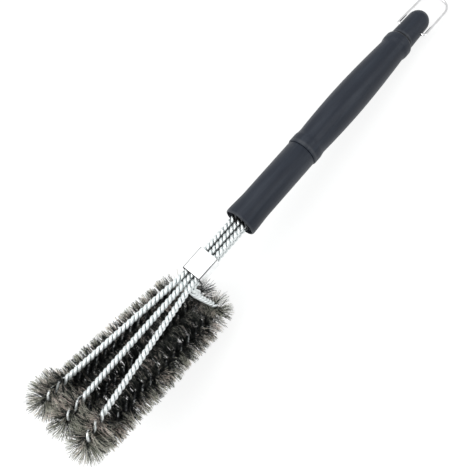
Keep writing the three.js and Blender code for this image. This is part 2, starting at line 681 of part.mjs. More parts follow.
growBristles(stems, heightOf);

// ---------------------------------------------------------------- assembly

const tool = new THREE.Group();

function place(name, geometry, material, x = 0, z = 0) {
  const mesh = new THREE.Mesh(geometry, material());
  mesh.name = name;
  mesh.position.set(x, 0, z);
  tool.add(mesh);
  return mesh;
}

const sideNames = { 1: 'right', 0: 'middle', '-1': 'left' };
for (const stem of stems) {
  const name = sideNames[stem.side];
  place(`${name}_stem_wire_a`, wireOf(stem, 0), wireSteel);
  place(`${name}_stem_wire_b`, wireOf(stem, 1), wireSteel);
  place(`${name}_bristles`, bristlesOf(stem), bristleSteel);
}
place('clamp_sleeve', clampGeometry(), brightSteel, X_CLAMP_FRONT, Z_HANDLE);
place('wire_anchor_plug', plugGeometry(), darkPlastic, X_PLUG, Z_HANDLE);
place('handle_front_sleeve', sleeveGeometry(), darkPlastic, X_MOUTH, Z_HANDLE);
place('handle_grip', gripGeometry(), darkPlastic, X_SEAM, Z_HANDLE);
place('handle_tail_cap', tailGeometry(), darkPlastic, X_TAIL, Z_HANDLE);

const bail = place('hanging_bail', bailGeometry(), brightSteel, X_PIVOT, Z_HANDLE);
bail.rotation.y = bailDroop;

tool.rotation.y = restTilt;

// The origin is the middle of the brush's footprint, on the plane that it rests on.
const root = new THREE.Group();
root.add(tool);
root.updateMatrixWorld(true);
const box = new THREE.Box3().setFromObject(root, true);
tool.position.set(-(box.min.x + box.max.x) / 2, -(box.min.y + box.max.y) / 2, -groundZ);

export default root;
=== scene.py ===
# %% [markdown]
# # A grill cleaning brush
# The real brush is six steel wires, thousands of crimped steel filaments, a pressed clamp,
# a three-part plastic handle and a plated wire bail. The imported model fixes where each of
# them is and how the bail turns. This lesson gives every piece its fine form and its finish.
# Pieces are modelled in millimetres, with the brush lying along +X, and are set into the
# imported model's place at the end of each step, so that the numbers stay those of a workshop.

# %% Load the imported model
import math

import bmesh
import bpy
import numpy as np
from mathutils import Matrix, Vector
from mathutils.kdtree import KDTree


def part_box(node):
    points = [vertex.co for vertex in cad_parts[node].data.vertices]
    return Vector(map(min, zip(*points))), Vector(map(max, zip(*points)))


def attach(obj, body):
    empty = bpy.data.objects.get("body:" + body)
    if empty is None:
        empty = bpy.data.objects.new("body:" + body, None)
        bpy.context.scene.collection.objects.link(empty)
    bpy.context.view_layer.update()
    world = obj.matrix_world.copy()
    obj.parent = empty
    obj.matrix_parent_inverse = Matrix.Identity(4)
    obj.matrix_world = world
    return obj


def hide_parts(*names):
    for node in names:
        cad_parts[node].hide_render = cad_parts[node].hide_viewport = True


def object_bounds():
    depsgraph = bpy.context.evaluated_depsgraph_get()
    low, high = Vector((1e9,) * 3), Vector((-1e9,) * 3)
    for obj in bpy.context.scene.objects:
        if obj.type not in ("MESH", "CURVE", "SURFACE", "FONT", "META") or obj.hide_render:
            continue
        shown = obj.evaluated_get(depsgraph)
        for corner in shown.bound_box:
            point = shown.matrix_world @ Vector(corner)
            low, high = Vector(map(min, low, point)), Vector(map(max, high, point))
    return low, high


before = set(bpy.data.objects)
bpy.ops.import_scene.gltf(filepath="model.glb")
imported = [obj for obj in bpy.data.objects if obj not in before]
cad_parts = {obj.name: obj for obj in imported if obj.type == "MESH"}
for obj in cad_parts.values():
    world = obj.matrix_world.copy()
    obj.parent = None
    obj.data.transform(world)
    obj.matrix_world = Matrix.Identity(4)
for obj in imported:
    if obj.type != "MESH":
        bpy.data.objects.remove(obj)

cad_low, cad_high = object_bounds()
print("packed size in mm", [round(1000 * v, 1) for v in cad_high - cad_low])

# %% [markdown]
# ## How the brush rests
# A brush put down on a table stands on its rear bristles and on the end of its handle, so
# its long axis is tipped by about nine degrees. One matrix carries every piece from the
# drawing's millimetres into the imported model's metres, and the clamp shows that it fits.

# %% From the drawing to the table
REST_TILT = math.radians(9.192010272263124)
REST_PLACE = Vector((-237.3658311887348, -0.09715652465820312, 83.8472924702791))
TO_TABLE = (Matrix.Scale(0.001, 4) @ Matrix.Translation(REST_PLACE)
            @ Matrix.Rotation(REST_TILT, 4, "Y"))

LAYER = 5.15                    # one wire pair above or beside another
X_FRONT = 16.5                  # foremost point of the stems
X_CLAMP, CLAMP_LENGTH = 153.5, 21.0
X_MOUTH, X_SEAM, X_TAIL = 208.9, 286.4, 420.9
X_PLUG, X_PIVOT = 223.9, 437.9
Z_AXIS = -LAYER / 2             # the handle's axis, midway between the two layers of wire

clamp_low, clamp_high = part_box("clamp_sleeve")
drawn_middle = TO_TABLE @ Vector((X_CLAMP + CLAMP_LENGTH / 2, 0, Z_AXIS))
off_by = (drawn_middle - (clamp_low + clamp_high) / 2).length
print("clamp off its drawn place by", round(1000 * off_by, 3), "mm")

# %% [markdown]
# ## Camera
# The photograph was taken from above the head's left side, close enough for the handle to
# shrink towards its end. Its place and lens were worked out from the handle's outlines and
# the stems, and are written here in the drawing's axes. Depth of field stays off.

# %% The photograph's viewpoint
EYE_PLACE = Vector((108.338, -159.586, 401.788))
PICTURE_PX, FOCAL_PX = 470, 571.69      # the picture's width, and the focal length in its pixels
SENSOR_MM = 36.0

right = Vector((0.647326, -0.748665, -0.143073)).normalized()
up = Vector((0.734145, 0.561937, 0.381126))
up = (up - right * up.dot(right)).normalized()
back = right.cross(up)
turn = Matrix.Rotation(REST_TILT, 3, "Y") @ Matrix((right, up, back)).transposed()

eye = bpy.data.cameras.new("camera")
eye.sensor_width = SENSOR_MM
eye.lens = SENSOR_MM * FOCAL_PX / PICTURE_PX
eye.clip_start, eye.clip_end = 0.01, 20
camera = bpy.data.objects.new("camera", eye)
camera.matrix_world = Matrix.Translation(TO_TABLE @ EYE_PLACE) @ turn.to_4x4()
bpy.context.scene.collection.objects.link(camera)
bpy.context.scene.camera = camera
print("lens", round(eye.lens, 2), "mm, camera at", [round(v, 4) for v in camera.location])

# %% [markdown]
# ## Shader maths as formulas
# A finish is a few masks multiplied and added together. Wired by hand, that is a page of
# Math nodes. Here a `Link` stands for one output socket and overloads the arithmetic
# operators, with their reflected forms, so `1 - mask * 0.3` adds its nodes by itself.
# Every other node comes from `Paint.node`, which sets its settings first, then its sockets.

# %% Link
def math_node(operation, reflected=False):
    """A method that adds one Math node; reflected when the link is the second value."""
    def method(self, other):
        values = (other, self) if reflected else (self, other)
        return self.paint.maths(operation, *values)
    return method


class Link:
    """One output socket of a node tree, usable in arithmetic."""

    def __init__(self, paint, socket):
        self.paint, self.socket = paint, socket

    __add__ = math_node("ADD")
    __radd__ = math_node("ADD", reflected=True)
    __sub__ = math_node("SUBTRACT")
    __rsub__ = math_node("SUBTRACT", reflected=True)
    __mul__ = math_node("MULTIPLY")
    __rmul__ = math_node("MULTIPLY", reflected=True)

    def __abs__(self):
        return self.paint.maths("ABSOLUTE", self)

    def rise(self, low, high):
        """0 below low, 1 above high, and smooth between them; low may be the larger one."""
        settings = {"data_type": "FLOAT", "interpolation_type": "SMOOTHSTEP"}
        return self.paint.node("ShaderNodeMapRange", settings,
                               {"Value": self, "From Min": low, "From Max": high})


# %% Paint
class Paint:
    """A material, its node tree and its one Principled surface."""

    def __init__(self, name, **constants):
        self.material = bpy.data.materials.new(name)
        self.material.use_nodes = True
        self.tree = self.material.node_tree
        self.tree.nodes.clear()
        self.surface = self.tree.nodes.new("ShaderNodeBsdfPrincipled")
        end = self.tree.nodes.new("ShaderNodeOutputMaterial")
        self.tree.links.new(self.surface.outputs[0], end.inputs["Surface"])
        self.set(**constants)

    def node(self, kind, settings=None, inputs=None, output=0):
        """Adds a node: first its settings, or a ramp's stops, then its sockets."""
        made = self.tree.nodes.new(kind)
        for key, value in (settings or {}).items():
            if key == "stops":
                ramp = made.color_ramp
                ramp.elements[0].position, ramp.elements[-1].position = value[0][0], value[-1][0]
                for at, _ in value[1:-1]:
                    ramp.elements.new(at)
                for element, (_, colour) in zip(ramp.elements, value):
                    element.color = (*colour, 1)
            else:
                setattr(made, key, value)
        for key, value in (inputs or {}).items():
            self.feed(made.inputs[key], value)
        return Link(self, made.outputs[output])

    def feed(self, socket, value):
        """Links a socket, or sets it; a colour is given as three numbers."""
        if isinstance(value, Link):
            self.tree.links.new(value.socket, socket)
        elif hasattr(socket.default_value, "__len__") and len(socket.default_value) == 4:
            socket.default_value = (*value, 1)
        else:
            socket.default_value = value

    def set(self, **values):
        """Sets or links the surface's sockets: base_color becomes Base Color."""
        for key, value in values.items():
            name = key.replace("_", " ").title().replace("Ior", "IOR")
            self.feed(self.surface.inputs[name], value)

    def maths(self, operation, *values):
        return self.node("ShaderNodeMath", {"operation": operation}, dict(enumerate(values)))

    def place(self, scale=(1, 1, 1), turn=(0, 0, 0)):
        """Object coordinates in metres, turned and then stretched."""
        seen = self.node("ShaderNodeTexCoord", output="Object")
        turned = self.node("ShaderNodeMapping", {"vector_type": "POINT"},
                           {"Vector": seen, "Rotation": turn})
        return self.node("ShaderNodeMapping", {"vector_type": "POINT"},
                         {"Vector": turned, "Scale": scale})

    def stored(self, name, output="Fac"):
        """What the mesh keeps for each vertex under that name."""
        return self.node("ShaderNodeAttribute", {"attribute_name": name}, output=output)

    def noise(self, where, scale, detail=3.0, roughness=0.55):
        return self.node("ShaderNodeTexNoise", {}, {"Vector": where, "Scale": scale,
                                                    "Detail": detail, "Roughness": roughness})

    def mixed(self, mask, first, second):
        return self.node("ShaderNodeMix", {"data_type": "RGBA"}, {0: mask, 6: first, 7: second},
                         output=2)

    def bump(self, height, strength, distance=0.0001, onto=None):
        inputs = {"Height": height, "Strength": strength, "Distance": distance}
        if onto:
            inputs["Normal"] = onto
        return self.node("ShaderNodeBump", {}, inputs)


print("shader helpers ready")

# %% [markdown]
# ## Helpers for the pieces
# Three helpers serve the whole brush. `turned` spins a profile about the handle's axis: the
# profile starts as a flat face, because its corners can then be rounded with a vertex
# bevel. `drawn` pulls a section along lines of points, as wire is drawn, through a curve
# with a bevel. `add_piece` puts a finished mesh in its place, gives it its material, hangs
# it under an empty for the body it rides on, and hides the imported nodes it stands for.

# %% turned
SAME_POINT = 1e-5               # corners no further apart than this, in mm, are one corner


def turned(profile, steps=96):
    """Spins a closed profile of (x, radius, corner rounding) about the handle's axis."""
    shape = bmesh.new()
    corners = [shape.verts.new((x, 0, r)) for x, r, _ in profile]
    shape.faces.new(corners)
    for corner, (_, r, rounding) in zip(corners, profile):
        if rounding and r > 0:
            bmesh.ops.bevel(shape, geom=[corner], affect="VERTICES", offset=rounding,
                            segments=4, profile=0.5, material=-1)
    bmesh.ops.delete(shape, geom=list(shape.faces), context="FACES_ONLY")
    on_axis = [e for e in shape.edges if all(v.co.z < SAME_POINT for v in e.verts)]
    bmesh.ops.delete(shape, geom=on_axis, context="EDGES")
    bmesh.ops.spin(shape, geom=list(shape.verts) + list(shape.edges), cent=(0, 0, 0),
                   axis=(1, 0, 0), angle=2 * math.pi, steps=steps, use_merge=True)
    bmesh.ops.remove_doubles(shape, verts=list(shape.verts), dist=SAME_POINT)
    bmesh.ops.recalc_face_normals(shape, faces=list(shape.faces))
    return shape


# %% drawn
def drawn(lines, radius, sides=12, end=1.0):
    """A section of that radius and number of sides, pulled along each line of points.

    The section shrinks evenly to the share `end` of its size at the last point.
    """
    curve = bpy.data.curves.new("drawing", "CURVE")
    curve.dimensions, curve.use_fill_caps = "3D", True
    die = None
    if sides == 3:
        outline = bpy.data.curves.new("die", "CURVE")
        outline.dimensions = "3D"
        edge = outline.splines.new("POLY")
        edge.points.add(2)
        edge.use_cyclic_u = True
        for k, point in enumerate(edge.points):
            angle = 2 * math.pi * k / 3
            point.co = (radius * math.cos(angle), radius * math.sin(angle), 0, 1)
        die = bpy.data.objects.new("die", outline)
        curve.bevel_mode, curve.bevel_object = "OBJECT", die
    else:
        # A round bevel has four sides, and two more for each step of its resolution.
        curve.bevel_depth, curve.bevel_resolution = radius, (sides - 4) // 2
    for line in lines:
        spline = curve.splines.new("POLY")
        spline.points.add(len(line) - 1)
        weighted = np.insert(line, 3, 1.0, axis=1).astype(np.float32)
        spline.points.foreach_set("co", weighted.ravel())
        spline.points.foreach_set("radius", np.linspace(1.0, end, len(line)))
    holder = bpy.data.objects.new("drawing", curve)
    bpy.context.scene.collection.objects.link(holder)
    graph = bpy.context.evaluated_depsgraph_get()
    mesh = bpy.data.meshes.new_from_object(holder.evaluated_get(graph))
    bpy.data.objects.remove(holder)
    if die:
        bpy.data.objects.remove(die)
    mesh.uv_layers.remove(mesh.uv_layers[0])
    return mesh


# %% Numbers for each vertex of a drawn mesh
def on_rings(values, sides):
    """Spreads values for (line, point) over a drawn mesh: its caps first, then its rings."""
    caps = np.stack([values[::-1, -1], values[::-1, 0]], 1)
    return np.concatenate([np.repeat(part.reshape(-1, *values.shape[2:]), sides, axis=0)
                           for part in (caps, values)])


def store(mesh, name, values):
    """Keeps a number, or a vector, for each vertex of a mesh."""
    kind, field = ("FLOAT", "value") if values.ndim == 1 else ("FLOAT_VECTOR", "vector")
    layer = mesh.attributes.new(name, kind, "POINT")
    layer.data.foreach_set(field, values.astype(np.float32).ravel())


# %% weld, as_mesh and add_piece
def weld(mesh):
    """Joins the caps of a drawn mesh to its rings, and turns the faces outwards."""
    shape = bmesh.new()
    shape.from_mesh(mesh)
    bmesh.ops.remove_doubles(shape, verts=list(shape.verts), dist=SAME_POINT)
    bmesh.ops.recalc_face_normals(shape, faces=list(shape.faces))
    shape.to_mesh(mesh)
    shape.free()
    mesh.shade_smooth()


def as_mesh(shape, name, angle=40):
    """A bmesh as a mesh, smooth except over edges sharper than the angle."""
    mesh = bpy.data.meshes.new(name)
    shape.to_mesh(mesh)
    shape.free()
    mesh.shade_smooth()
    mesh.set_sharp_from_angle(angle=math.radians(angle))
    return mesh


def add_piece(name, mesh, paint, nodes, body="brush"):
    """Sets a mesh drawn in millimetres in its place, as a piece that stands for CAD nodes."""
    mesh.transform(TO_TABLE)
    mesh.materials.clear()
    mesh.materials.append(paint.material)
    made = bpy.data.objects.new(name, mesh)
    bpy.context.scene.collection.objects.link(made)
    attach(made, body)
    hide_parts(*nodes)
    print(name, "triangles", sum(len(p.vertices) - 2 for p in mesh.polygons))


# %% [markdown]
# ## The route of a stem
# Each of the three stems is one pair of wires, bent like a hairpin: out of the handle, on
# as a straight strut, round the front, back as the bristled lower run, and up again into
# the handle. A drawing of it is straight runs joined by arcs. `Route` measures such a line
# every tenth of a millimetre and carries two axes along it without turning them about it,
# so that a twist added later is the twist of the wires and nothing else.

# %% Route
ARC_STEPS = 48


def unit(vectors):
    return vectors / np.linalg.norm(vectors, axis=-1, keepdims=True)


def travelled(points):
    """How far along a line of points each of them lies."""
    return np.concatenate([[0], np.cumsum(np.linalg.norm(np.diff(points, axis=0), axis=1))])


class Route:
    """A rounded line through corners, with two axes carried along it."""

    def __init__(self, corners, radii, step=0.1):
        points, arcs = [corners[0]], []
        for before, corner, after, radius in zip(corners, corners[1:], corners[2:], radii):
            behind, ahead = (before - corner).normalized(), (after - corner).normalized()
            half = behind.angle(ahead) / 2
            centre = corner + (behind + ahead).normalized() * radius / math.sin(half)
            first = (corner + behind * radius / math.tan(half) - centre) / radius
            last = (corner + ahead * radius / math.tan(half) - centre) / radius
            across = (last - first * last.dot(first)).normalized()
            arcs.append(len(points))
            for t in np.linspace(0, math.pi - 2 * half, ARC_STEPS + 1):
                points.append(centre + radius * (first * math.cos(t) + across * math.sin(t)))
        points = np.array([*points, corners[-1]], float)
        length = travelled(points)
        # Where each arc starts along the line, and how long it is.
        self.arcs = [(length[i], length[i + ARC_STEPS] - length[i]) for i in arcs]
        self.total = length[-1]
        self.s = np.linspace(0, self.total, int(self.total / step) + 1)
        self.points = np.stack([np.interp(self.s, length, points[:, k]) for k in range(3)], -1)
        self.tangents = unit(np.gradient(self.points, axis=0))
        normal, carried = np.array([0.0, 0.0, 1.0]), []
        for tangent in self.tangents:
            normal = normal - tangent * (normal @ tangent)
            normal /= np.linalg.norm(normal)
            carried.append(normal)
        self.normals = np.array(carried)

    def at(self, s):
        """Point, tangent, normal and the axis across them, at each length in s."""
        point, tangent, normal = (
            np.stack([np.interp(s, self.s, rows[:, k]) for k in range(3)], -1)
            for rows in (self.points, self.tangents, self.normals))
        tangent = unit(tangent)
        normal = unit(normal - tangent * np.sum(normal * tangent, -1, keepdims=True))
        return point, tangent, normal, np.cross(tangent, normal)


# %% [markdown]
# ## The twist
# The two wires of a pair wind round each other, left-handed. On the bare runs one turn
# takes 8.3 mm and the wires all but touch. Where they hold bristles the twist is looser,
# 17 mm a turn, and the filaments keep the wires a little apart. The change from one to the
# other is spread over a few millimetres, as a twisting machine spreads it.

# %% Stem
FRONT_SPREAD, REAR_SPREAD, FRONT_DEPTH, REAR_DEPTH = 22.2, 18.6, 15.5, 47.0
X_WIRE_END = 239.9              # where the wires end, in the plug
X_SPLAY = 149.3                 # where the outer struts turn outwards, in front of the clamp
X_REAR, X_RISER = 152.0, 143.0  # rear end of the lower run, and top of the riser
SPLAY_R, FRONT_R, REAR_R = 60.0, 7.5, 6.0       # radii of the bends
BARE_PITCH, BRUSH_PITCH = 8.3, 17.0
PITCH_CHANGE = 4                # length over which one twist goes over into the other
WIRE_R, BARE_HELIX_R, BRUSH_HELIX_R = 1.25, 1.28, 1.6
FILLED_STRUT = 12.5             # the bristles start this far before the front bend
FOOT_SHARE, FILLED_SHARE = 0.2, 0.9     # of the rear bend: where the brush stands, last bristle


class Stem:
    """One pair of twisted wires; side is 1 on the right, 0 in the middle, -1 on the left."""

    def __init__(self, name, side):
        y = side * LAYER
        corners = [Vector(p) for p in (
            (X_WIRE_END, y, 0), (X_SPLAY, y, 0), (X_FRONT, side * FRONT_SPREAD, 0),
            (X_FRONT, side * FRONT_SPREAD, -FRONT_DEPTH), (X_REAR, side * REAR_SPREAD, -REAR_DEPTH),
            (X_RISER, y, -LAYER), (X_WIRE_END, y, -LAYER))]
        radii = [SPLAY_R, FRONT_R, FRONT_R, REAR_R, REAR_R]
        if side == 0:
            del corners[1], radii[0]
        self.name, self.side = name, side
        self.route = Route(corners, radii)
        # The bristles go from start to end. The lower half of the front bend starts at lower,
        # the rear bend starts at bend, and the brush rests on the bristles at stand.
        front, under, rear = self.route.arcs[-4:-1]
        self.start, self.end = front[0] - FILLED_STRUT, rear[0] + FILLED_SHARE * rear[1]
        self.stand = rear[0] + FOOT_SHARE * rear[1]
        self.lower, self.bend = under[0], rear[0]
        s = self.route.s
        held = self.held(s)
        self.turns = np.concatenate([[0], np.cumsum(
            np.diff(s) / (BARE_PITCH + (BRUSH_PITCH - BARE_PITCH) * held[1:]))])
        # Where the brush stands, the filaments point straight down.
        _, _, normal, across = self.route.at(np.array([self.stand]))
        down = math.atan2(-across[0, 2], -normal[0, 2])
        self.zero = down - math.pi / 2 + 2 * math.pi * np.interp(self.stand, s, self.turns)

    def held(self, s):
        """1 where bristles are held, 0 on the bare runs."""
        inside = np.clip(0.5 + np.minimum(s - self.start, self.end - s) / PITCH_CHANGE, 0, 1)
        return inside * inside * (3 - 2 * inside)

    def axes(self, s):
        """Point on the pair's axis, tangent, and the direction towards the first wire."""
        point, tangent, normal, across = self.route.at(s)
        angle = (self.zero - 2 * math.pi * np.interp(s, self.route.s, self.turns))[:, None]
        return point, tangent, normal * np.cos(angle) + across * np.sin(angle)


stems = [Stem("right", 1), Stem("middle", 0), Stem("left", -1)]
for stem in stems:
    print(stem.name, "stem", round(stem.route.total, 1), "mm long, bristled for",
          round(stem.end - stem.start, 1), "mm")

# %% [markdown]
# ## Galvanised wire
# Stem wire is steel with a thin zinc coat: bright, a little milky, with faint lines along
# it from the drawing die. What shows most is the contrast between the outer crests and the
# grooves, which are painted dark as shade, with a little dust; a grey bloom of zinc patches
# the bright steel. Each wire carries an attribute with its place round and along the wire,
# so that the lines follow the twist, and the first number of it is 1 on the crest and -1 in
# the groove. Two more say where more shade is painted: `buried` is how deep a stretch lies in
# bristles or in the handle's mouth, and `to_neighbour` is the distance in millimetres to the next
# pair.

# %% Wire finish
wire_paint = Paint("galvanised_wire", metallic=0.72, specular_ior_level=0.6)
around = wire_paint.stored("wire_place", "Vector")
facing = wire_paint.node("ShaderNodeSeparateXYZ", {}, {"Vector": around})
# Painted shade with patches of grime: the groove side of each wire, stretches buried in bristles or
# in the mouth, and sides close to another pair are darkened, and only the crests keep their light.
grime_and_shade_patches = wire_paint.noise(wire_paint.place(), 330, 2.0).rise(0.42, 0.60)
buried = wire_paint.stored("buried") * (1 + grime_and_shade_patches * 0.45)
gap = wire_paint.stored("to_neighbour").rise(4.1, 2.7)
painted_crest_light = (facing - buried * 1.32).rise(-0.75, 0.05) * (1 - gap)
stretched = wire_paint.node("ShaderNodeMapping", {}, {"Vector": around, "Scale": (9, 9, 0.22)})
lines = wire_paint.noise(stretched, 1.6, 3.0)
bloom = wire_paint.noise(wire_paint.place(), 620, 4.0).rise(0.38, 0.66)
clean = wire_paint.mixed(bloom, (0.94, 0.98, 0.98), (0.84, 0.885, 0.89))
wire_paint.set(
    base_color=wire_paint.mixed(painted_crest_light, (0.055, 0.058, 0.060), clean),
    roughness=0.24 + bloom * 0.12 + lines * 0.10 + (1 - painted_crest_light) * 0.18,
    normal=wire_paint.bump(lines, 0.25, 0.00003, wire_paint.bump(bloom, 0.2, 0.00003)))
print("wire finish uses", len(wire_paint.tree.nodes), "nodes")

# %% [markdown]
# ## The six wires
# A wire of a twisted pair is a helix wound about the stem's route. Its centreline is worked
# out every half millimetre, and a round section is drawn along it. The attributes are
# filled ring by ring, because the mesh keeps the order of the centreline's points.

# %% Places on a wire
SIDES = 12
FAR = 9.0                       # a pair further off than this is no neighbour
OWN_RUN = 12.0                  # nor is the stem itself, this near along its route


def wound(stem, half, step=0.5):
    """Centreline of one wire, and the direction from the pair's axis to it."""
    s = np.linspace(0, stem.route.total, int(stem.route.total / step) + 1)
    point, _, out = stem.axes(s)
    out = out * (1 if half == 0 else -1)
    helix = BARE_HELIX_R + (BRUSH_HELIX_R - BARE_HELIX_R) * stem.held(s)
    return point + out * helix[:, None], out


def place_round(at, line, out):
    """For each vertex, its place round the wire, 1 to -1 and across, and along it."""
    spoke = unit(at - on_rings(line[None], SIDES))
    side = np.cross(unit(np.gradient(line, axis=0)), out)
    return np.stack([np.sum(spoke * on_rings(out[None], SIDES), 1),
                     np.sum(spoke * on_rings(side[None], SIDES), 1),
                     on_rings(travelled(line)[None], SIDES)], -1)


def to_neighbour(at, s, stem):
    """For each vertex, the distance to the axis of the nearest other pair, up to FAR."""
    nearest = np.full(len(at), FAR)
    for other in stems:
        marks, where = other.route.s[::10], other.route.points[::10]
        # A dozen shares keep the table of distances small.
        for rows in np.array_split(np.arange(len(at)), 12):
            apart = np.linalg.norm(at[rows, None] - where[None], axis=-1)
            if other is stem:
                apart[abs(s[rows, None] - marks[None]) < OWN_RUN] = FAR
            nearest[rows] = np.minimum(nearest[rows], apart.min(1))
    return nearest


# %% Wind the wires
for stem in stems:
    for half, letter in ((0, "a"), (1, "b")):
        line, out = wound(stem, half)
        mesh = drawn([line], WIRE_R, SIDES)
        at = np.zeros(len(mesh.vertices) * 3, np.float32)
        mesh.vertices.foreach_get("co", at)
        at = at.reshape(-1, 3)
        s = on_rings(np.linspace(0, stem.route.total, len(line))[None], SIDES)
        store(mesh, "wire_place", place_round(at, line, out))
        store(mesh, "to_neighbour", to_neighbour(at, s, stem))
        # Painted shade, by how deep a stretch is buried: deep in the lower run and in the handle's
        # mouth, half as deep round the front bend.
        in_bristles = np.clip((s - stem.lower) / 3, 0, 1) * np.clip((stem.end + 1 - s) / 2, 0, 1)
        in_front = 0.5 * np.clip((s - stem.start) / 3, 0, 1) * (s < stem.lower + 4)
        in_mouth = np.clip((at[:, 0] - X_MOUTH) / 3 + 1, 0, 1.3)
        store(mesh, "buried", np.max([in_bristles, in_front, in_mouth], axis=0))
        weld(mesh)
        node = f"{stem.name}_stem_wire_{letter}"
        add_piece(f"{stem.name}_twisted_wire_{letter}", mesh, wire_paint, [node])

# %% [markdown]
# ## Crimped filaments
# A brush of this kind is filled with thin steel wire that was crimped between gears, laid
# across the pair and caught in its twist. So the filaments leave the stem in two opposite
# rows that wind round it, and from the side they stand as tufts, half a turn apart. They
# fan out a little, none is quite straight, and the outer ends are ragged. Near the stem the
# steel is painted dark, for oil and for the shade deep in the crowd; the cut ends are dry,
# grey brown with a little rust and olive, and painted lighter where they stand in the light.
# The meshes carry three numbers for this: `reach` grows from the stem to the tip, `tint` is
# the filament's own, and `outside` says how far out of the crowd a point stands in the light.

# %% Bristle finish
bristle_paint = Paint("crimped_bristle_steel", metallic=0.40)
reach = bristle_paint.stored("reach")
tint = bristle_paint.stored("tint")
outer = bristle_paint.stored("outside")
drift = bristle_paint.noise(bristle_paint.place(), 60, 3.0).rise(0.35, 0.65)
# Painted light and shade: dark near the stem, for oil and for shade in the crowd, and lighter
# towards the tips and where a point stands out in the light.
painted_light_outside = outer * (reach * 0.66 + 0.13)
shade = (reach * 0.42 + painted_light_outside + (tint - 0.5) * (outer * 1.5 + 0.8)).rise(0.33, 0.99)
tip_colour = bristle_paint.node("ShaderNodeValToRGB", {"stops": [
    (0.0, (0.30, 0.33, 0.23)), (0.4, (0.47, 0.49, 0.40)), (0.7, (0.74, 0.71, 0.62)),
    (1.0, (0.96, 0.82, 0.76))]}, {"Fac": drift * 0.4 + tint * 0.6})
bristle_paint.set(
    base_color=bristle_paint.mixed(shade, (0.022, 0.027, 0.025), tip_colour),
    roughness=0.46 + tint * 0.14 + shade * 0.08)
print("bristle finish uses", len(bristle_paint.tree.nodes), "nodes")

# %% [markdown]
# ## Growing the bristles
# Each filament is a line of seven points with a zigzag for its crimp. It is straight between
# the wires, then takes a direction of its own. Three at a time stay together as a lock, as
# oiled wire does, and locks of one tint in one place read as bunches. Where a filament would
# pass through another stem, the clamp or the table, it is made shorter and ends before it.
# A three-sided section is enough for wire a third of a millimetre thick.

# %% Filament sizes
BRISTLE_R = 17.3                # longest reach from a stem's axis
POINTS = 7
LOCK = 3                        # filaments that stay together
LOCKS_A_STEM = 3420
GRIP_HALF = 1.7                 # filaments stay between the wires this far out
CRIMP, FILAMENT_R = 0.18, 0.155
STEM_ROOM = 3.1                 # nearer than this to a stem's axis, a filament would touch it
CLAMP_ROOM_Y, CLAMP_ROOM_Z = 9.2, 6.7   # half the clamp's width and height, and a little more
LOW_ROOM, HIGH_ROOM, TIP_ROOM = 0.0002, 0.0001, 0.0003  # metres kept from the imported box
OPEN_DEPTH = 14                 # a filament this far out stands in full light
LOOSE_END = 7                   # the filling gets thinner this far before the rear bend
print(LOCKS_A_STEM, "locks a stem, of", LOCK, "filaments each")

# %% Where a filament can't be
ropes = KDTree(sum(len(stem.route.s[::8]) for stem in stems))
for k, point in enumerate(np.concatenate([stem.route.points[::8] for stem in stems])):
    ropes.insert(point, k)
ropes.balance()
table_rows = np.array(TO_TABLE)[:3]


def on_table(points):
    return points @ table_rows[:, :3].T + table_rows[:, 3]


def stopped(points):
    """For each filament, the first of its points that is where it can't be, or POINTS."""
    placed = on_table(points)
    below = (placed < np.array(cad_low) + LOW_ROOM).any(-1)
    above = (placed > np.array(cad_high) - HIGH_ROOM).any(-1)
    in_clamp = ((points[..., 0] > X_CLAMP - 0.5) & (abs(points[..., 1]) < CLAMP_ROOM_Y)
                & (abs(points[..., 2] - Z_AXIS) < CLAMP_ROOM_Z))
    bad = below | above | in_clamp
    # The first three points are near the filament's own stem, so they aren't tested.
    for i, j in zip(*np.nonzero(~bad)):
        if j >= 3 and ropes.find(points[i, j])[2] < STEM_ROOM:
            bad[i, j] = True
    bad[:, 0] = False
    return np.where(bad.any(1), bad.argmax(1), POINTS)


def outside(points):
    """0 between and under the stems, 1 well out at the sides, the front and the rear corners."""
    x, y = points[..., 0], abs(points[..., 1])
    width = np.interp(x, (X_FRONT, X_REAR), (FRONT_SPREAD, REAR_SPREAD))
    at_side = 1.2 * (y - width - 4)
    at_front = 0.9 * (42 - x)
    at_rear = 1.6 * (x - 139) * np.clip((y - 6) / 8, 0, 1)
    return np.clip(np.max([at_side, at_front, at_rear], axis=0) / OPEN_DEPTH, 0, 1)


def room(root, tip):
    """The share of each filament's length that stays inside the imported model's box."""
    start, end = on_table(root), on_table(tip)
    wall = np.where(end > start, np.array(cad_high) - TIP_ROOM, np.array(cad_low) + TIP_ROOM)
    return np.clip(((wall - start) / (end - start)).min(axis=1), 0, 1)


# %% Lay out, lock and grow
def lay_out(root, along, direction, sway, bow, length):
    """Lines of points: straight out between the wires, then each in its own direction."""
    t = np.linspace(0, 1, POINTS)[None, :, None]
    out = length[:, None, None] * t
    held = np.minimum(out, GRIP_HALF)
    line = root[:, None] + along[:, None] * held + direction[:, None] * (out - held)
    zigzag = np.where(np.arange(POINTS) % 2, 1.0, -1.0)[None, :, None] * np.minimum(1, 3 * t)
    return line + sway[:, None] * zigzag * CRIMP + bow[:, None] * t ** 2


